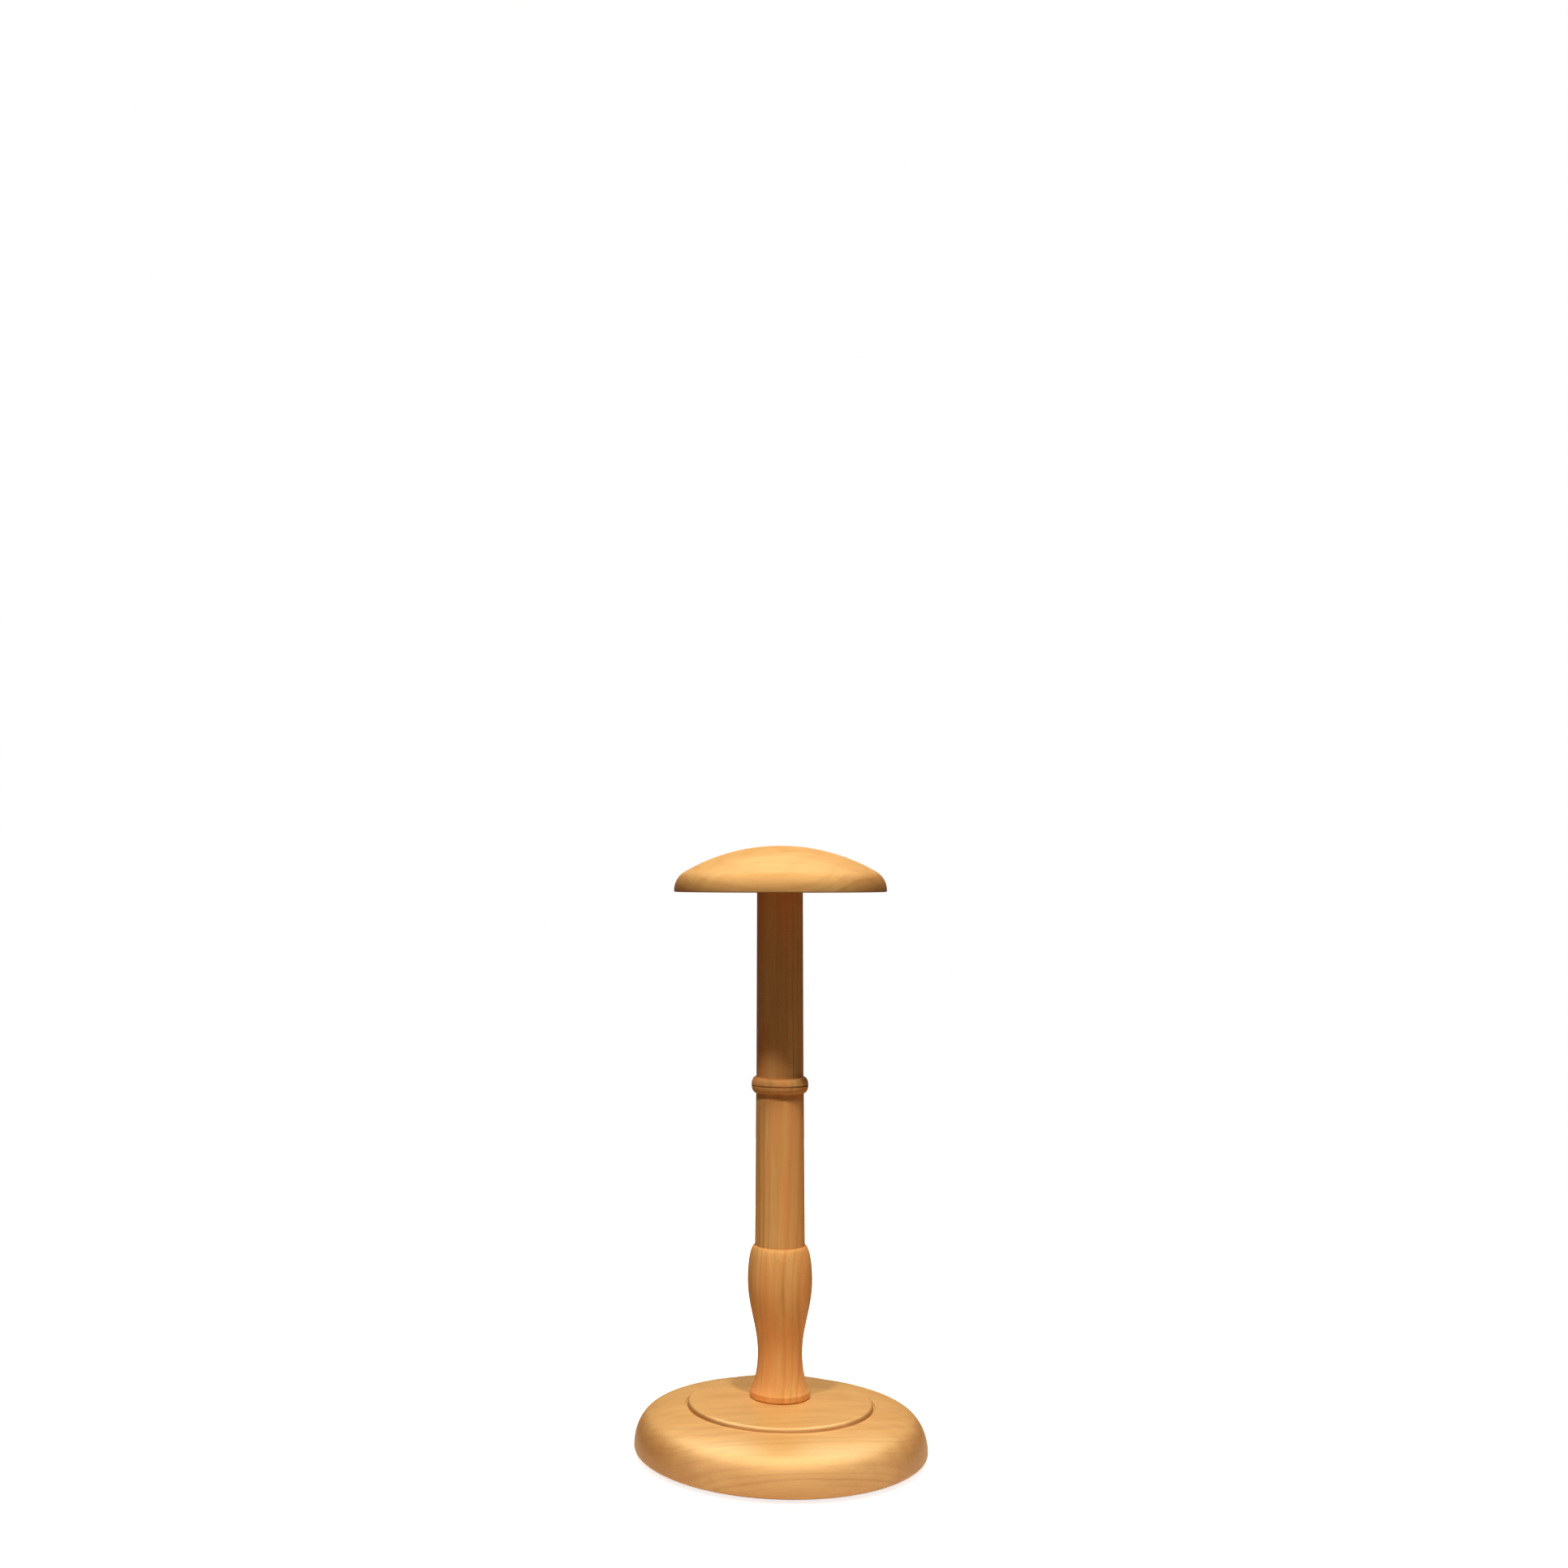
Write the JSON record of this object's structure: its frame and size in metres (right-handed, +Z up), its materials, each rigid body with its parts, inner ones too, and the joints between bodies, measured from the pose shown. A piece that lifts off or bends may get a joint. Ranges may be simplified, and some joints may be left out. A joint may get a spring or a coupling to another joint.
{
  "type": "wig stand",
  "caption": "Tall turned wooden wig stand with a wide round base, a baluster column, a beaded screw joint, a slim extension rod and a domed mushroom head; it unscrews for packing.",
  "frame": {"origin": "middle of the felt's underside, on the surface that the stand rests on", "axes": "+Z up along the axis that every piece is turned about, -Y towards the picture's viewer"},
  "size_m": [0.204, 0.204, 0.4251],
  "materials": {
    "wood": "sanded and satin lacquered",
    "felt": "pressed wool felt",
    "steel": "zinc plated",
    "brass": "turned"
  },
  "bodies": {
    "base": {"base": "wood", "felt_disc": "felt", "base_insert": "brass"},
    "column_stud": {"column_stud": "steel"},
    "column": {"column": "wood", "column_insert": "brass"},
    "extension_stud": {"extension_stud": "steel"},
    "extension": {"extension": "wood", "head_stud": "steel"},
    "head_insert": {"head_insert": "brass"},
    "head": {"head": "wood"}
  },
  "joints": [
    {"name": "column_rise", "type": "slide", "parent": "base", "child": "column_stud", "axis": [0, 0, 1], "range_m": [0, 0.01751]},
    {"name": "column_turn", "type": "hinge", "parent": "column_stud", "child": "column", "pos_m": [0, 0, 0.0403], "axis": [0, 0, 1], "range_deg": [0, 5040]},
    {"name": "extension_rise", "type": "slide", "parent": "column", "child": "extension_stud", "axis": [0, 0, 1], "range_m": [0, 0.01751]},
    {"name": "extension_turn", "type": "hinge", "parent": "extension_stud", "child": "extension", "pos_m": [0, 0, 0.2583], "axis": [0, 0, 1], "range_deg": [0, 5040]},
    {"name": "head_rise", "type": "slide", "parent": "extension", "child": "head_insert", "axis": [0, 0, 1], "range_m": [0, 0.01751]},
    {"name": "head_turn", "type": "hinge", "parent": "head_insert", "child": "head", "pos_m": [0, 0, 0.3929], "axis": [0, 0, 1], "range_deg": [0, 5040]}
  ],
  "couplings": [
    {"joint": "column_rise", "follows": "column_turn", "m_per_rad": 0.00019894},
    {"joint": "extension_rise", "follows": "extension_turn", "m_per_rad": 0.00019894},
    {"joint": "head_rise", "follows": "head_turn", "m_per_rad": 0.00019894}
  ]
}
